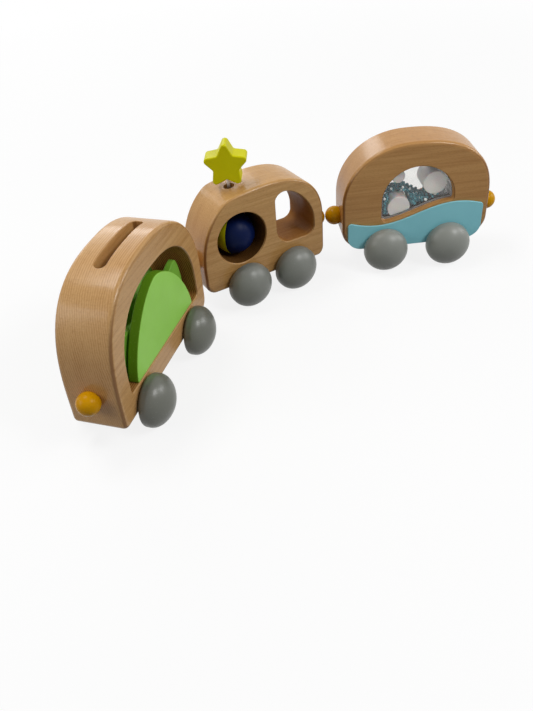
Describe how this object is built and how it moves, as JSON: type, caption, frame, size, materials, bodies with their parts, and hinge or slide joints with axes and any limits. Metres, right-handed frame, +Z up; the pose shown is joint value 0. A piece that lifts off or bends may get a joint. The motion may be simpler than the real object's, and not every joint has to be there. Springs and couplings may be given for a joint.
{
  "type": "toy train",
  "caption": "Wooden toy train of arched cars on domed wheels, joined by magnetic balls, with painted hills, a spinning star and a bead window.",
  "frame": {"origin": "centre of the bounding box in plan, at floor level under the wheels", "axes": "+X along the middle car from the leading end to the trailing end, +Z up, -Y towards the viewer of the picture"},
  "size_m": [0.3828, 0.1592, 0.1268],
  "materials": {
    "beech": "clear lacquered beech",
    "wheel_grey": "satin grey paint",
    "steel": "drawn steel",
    "magnet": "nickel plated",
    "ball_yellow": "satin yellow paint",
    "leaf_green": "satin green paint",
    "dark_green": "satin dark green paint",
    "navy": "satin navy paint",
    "lime": "satin yellow-green paint",
    "clear": "clear acrylic",
    "light_blue": "satin light blue paint",
    "peg_white": "white acrylic",
    "bead_teal": "glossy teal"
  },
  "bodies": {
    "front_car": {"front_body": "beech", "front_axle_strip": "beech", "front_front_ball": "ball_yellow", "front_front_magnet": "magnet", "front_rear_ball": "ball_yellow", "front_rear_magnet": "magnet", "front_hill_left": "leaf_green", "front_hill_right": "leaf_green", "front_ridge": "dark_green"},
    "middle_car": {"middle_body": "beech", "middle_axle_strip": "beech", "middle_front_ball": "ball_yellow", "middle_front_magnet": "magnet", "middle_rear_ball": "ball_yellow", "middle_rear_magnet": "magnet", "middle_chamber_back": "beech"},
    "rear_car": {"rear_body": "beech", "rear_axle_strip": "beech", "rear_front_ball": "ball_yellow", "rear_front_magnet": "magnet", "rear_rear_ball": "ball_yellow", "rear_rear_magnet": "magnet", "rear_pane_left": "clear", "rear_pane_right": "clear", "rear_wave_left": "light_blue", "rear_wave_right": "light_blue", "rear_bead_case": "clear", "rear_beads": "bead_teal", "rear_peg_upper_rear": "peg_white", "rear_peg_lower_front": "peg_white", "rear_peg_upper_front": "peg_white"},
    "spinner": {"middle_rod": "steel", "middle_star": "lime", "middle_ball_lime": "lime", "middle_ball_navy": "navy"},
    "front_front_wheelset": {"front_front_axle": "steel", "front_front_wheel_left": "wheel_grey", "front_front_wheel_right": "wheel_grey"},
    "front_rear_wheelset": {"front_rear_axle": "steel", "front_rear_wheel_left": "wheel_grey", "front_rear_wheel_right": "wheel_grey"},
    "middle_front_wheelset": {"middle_front_axle": "steel", "middle_front_wheel_left": "wheel_grey", "middle_front_wheel_right": "wheel_grey"},
    "middle_rear_wheelset": {"middle_rear_axle": "steel", "middle_rear_wheel_left": "wheel_grey", "middle_rear_wheel_right": "wheel_grey"},
    "rear_front_wheelset": {"rear_front_axle": "steel", "rear_front_wheel_left": "wheel_grey", "rear_front_wheel_right": "wheel_grey"},
    "rear_rear_wheelset": {"rear_rear_axle": "steel", "rear_rear_wheel_left": "wheel_grey", "rear_rear_wheel_right": "wheel_grey"}
  },
  "joints": [
    {"name": "front_car_yaw", "type": "hinge", "parent": "middle_car", "child": "front_car", "pos_m": [-0.06229, 0.0425, 0.0419], "axis": [0, 0, 1], "range_deg": [-103, 17]},
    {"name": "rear_car_yaw", "type": "hinge", "parent": "middle_car", "child": "rear_car", "pos_m": [0.05371, 0.0425, 0.0419], "axis": [0, 0, 1], "range_deg": [-35, 85]},
    {"name": "star_spin", "type": "hinge", "parent": "middle_car", "child": "spinner", "pos_m": [-0.02209, 0.0425, 0.0536], "axis": [0, 0, 1], "continuous": true},
    {"name": "front_front_roll", "type": "hinge", "parent": "front_car", "child": "front_front_wheelset", "pos_m": [-0.15711, -0.04592, 0.018], "axis": [-0.682, 0.7314, 0], "continuous": true},
    {"name": "front_rear_roll", "type": "hinge", "parent": "front_car", "child": "front_rear_wheelset", "pos_m": [-0.10116, 0.00625, 0.018], "axis": [-0.682, 0.7314, 0], "continuous": true},
    {"name": "middle_front_roll", "type": "hinge", "parent": "middle_car", "child": "middle_front_wheelset", "pos_m": [-0.02374, 0.0425, 0.018], "axis": [0, 1, 0], "continuous": true},
    {"name": "middle_rear_roll", "type": "hinge", "parent": "middle_car", "child": "middle_rear_wheelset", "pos_m": [0.01856, 0.0425, 0.018], "axis": [0, 1, 0], "continuous": true},
    {"name": "rear_front_roll", "type": "hinge", "parent": "rear_car", "child": "rear_front_wheelset", "pos_m": [0.1032, 0.01943, 0.018], "axis": [0.4226, 0.9063, 0], "continuous": true},
    {"name": "rear_rear_roll", "type": "hinge", "parent": "rear_car", "child": "rear_rear_wheelset", "pos_m": [0.15014, -0.00247, 0.018], "axis": [0.4226, 0.9063, 0], "continuous": true}
  ]
}
